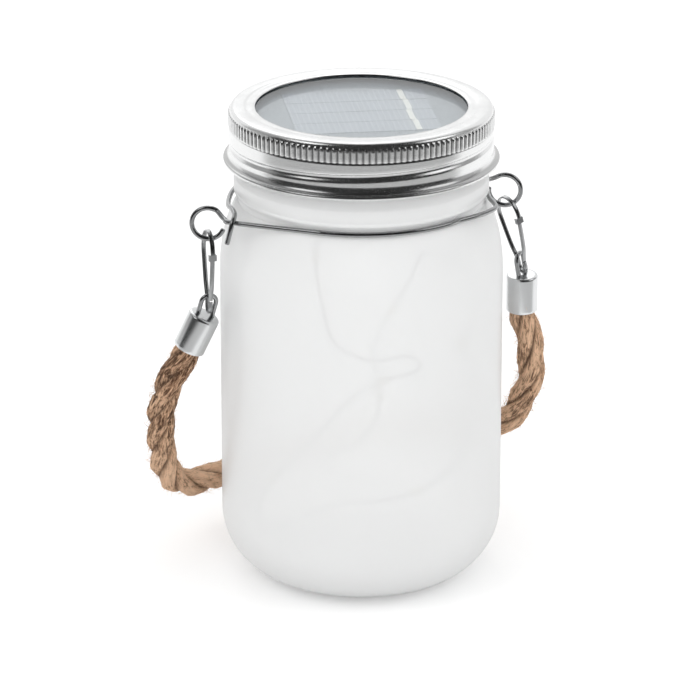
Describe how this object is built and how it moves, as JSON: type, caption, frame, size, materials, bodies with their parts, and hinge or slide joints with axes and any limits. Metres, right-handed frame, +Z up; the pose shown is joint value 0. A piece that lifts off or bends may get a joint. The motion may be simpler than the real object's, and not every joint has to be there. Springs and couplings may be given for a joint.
{
  "type": "jar lantern",
  "caption": "Frosted glass jar lantern with a screw band, a solar lid that drives a light string inside, wire hanger eyes and a rope carrying handle on snap hooks.",
  "frame": {"origin": "centre of the ring that the jar stands on, at table height", "axes": "+Z up along the jar's axis; X runs through the two hanger eyes; the rope handle hangs behind the jar on +Y"},
  "size_m": [0.116, 0.0884, 0.1377],
  "materials": {
    "glass_jar": "frosted",
    "wire": "drawn wire, bright",
    "light_string_wire": "clear coated copper wire",
    "light_beads": "clear resin drops",
    "sealing_gasket": "soft",
    "module_housing": "moulded",
    "solar_board": "laminate",
    "solar_cells": "satin coated cells",
    "tab_ribbon": "tinned ribbon",
    "housing_cover": "moulded",
    "cover_screws": "zinc plated",
    "circuit_board": "laminate",
    "board_parts": "moulded parts",
    "panel_leads": "insulated lead",
    "battery_cell": "shrink sleeve",
    "battery_plate": "nickel plated",
    "battery_spring": "nickel plated",
    "switch_body": "moulded",
    "switch_slider": "moulded",
    "string_grommet": "soft",
    "window_disc": "clear",
    "screw_band": "satin zinc",
    "snap": "nickel plated",
    "cap": "polished",
    "rope": "twisted jute"
  },
  "bodies": {
    "jar": {"glass_jar": "glass_jar", "neck_wire_front": "wire", "neck_wire_back": "wire", "light_string_wire": "light_string_wire", "light_beads": "light_beads"},
    "lid_module": {"sealing_gasket": "sealing_gasket", "module_housing": "module_housing", "solar_board": "solar_board", "solar_cells": "solar_cells", "tab_ribbon": "tab_ribbon", "housing_cover": "housing_cover", "cover_screws": "cover_screws", "circuit_board": "circuit_board", "board_parts": "board_parts", "panel_leads": "panel_leads", "battery_cell": "battery_cell", "battery_plate": "battery_plate", "battery_spring": "battery_spring", "switch_body": "switch_body", "string_grommet": "string_grommet"},
    "switch": {"switch_slider": "switch_slider"},
    "window": {"window_disc": "window_disc"},
    "band": {"screw_band": "screw_band"},
    "handle": {"snap_hook_left": "snap", "snap_hook_right": "snap", "cap_eye_left": "cap", "cap_eye_right": "cap", "end_cap_left": "cap", "end_cap_right": "cap", "rope": "rope"},
    "gate_left": {"snap_gate_left": "snap"},
    "gate_right": {"snap_gate_right": "snap"}
  },
  "joints": [
    {"name": "lid_lift", "type": "slide", "parent": "jar", "child": "lid_module", "axis": [0, 0, 1], "range_m": [0, 0.036], "deforming": ["light_string_wire"]},
    {"name": "switch_slide", "type": "slide", "parent": "lid_module", "child": "switch", "axis": [1, 0, 0], "range_m": [0, 0.002]},
    {"name": "band_rise", "type": "slide", "parent": "lid_module", "child": "window", "axis": [0, 0, 1], "range_m": [0, 0.0064]},
    {"name": "band_turn", "type": "hinge", "parent": "window", "child": "band", "pos_m": [0, 0, 0.13], "axis": [0, 0, 1], "range_deg": [0, 450]},
    {"name": "handle_swing", "type": "hinge", "parent": "jar", "child": "handle", "pos_m": [0, 0.0006, 0.1035], "axis": [1, 0, 0], "range_deg": [0, 150]},
    {"name": "gate_left_flex", "type": "hinge", "parent": "handle", "child": "gate_left", "pos_m": [-0.045, -0.00135, 0.0858], "axis": [-1, 0, 0], "range_deg": [0, 8], "stiffness_Nm_per_rad": 0.005, "springref_deg": -2.86},
    {"name": "gate_right_flex", "type": "hinge", "parent": "handle", "child": "gate_right", "pos_m": [0.04865, -0.00127, 0.0866], "axis": [-0.9077, -0.342, -0.2432], "range_deg": [0, 8], "stiffness_Nm_per_rad": 0.005, "springref_deg": -2.86}
  ],
  "couplings": [
    {"joint": "band_rise", "follows": "band_turn", "m_per_rad": 0.00080851}
  ]
}
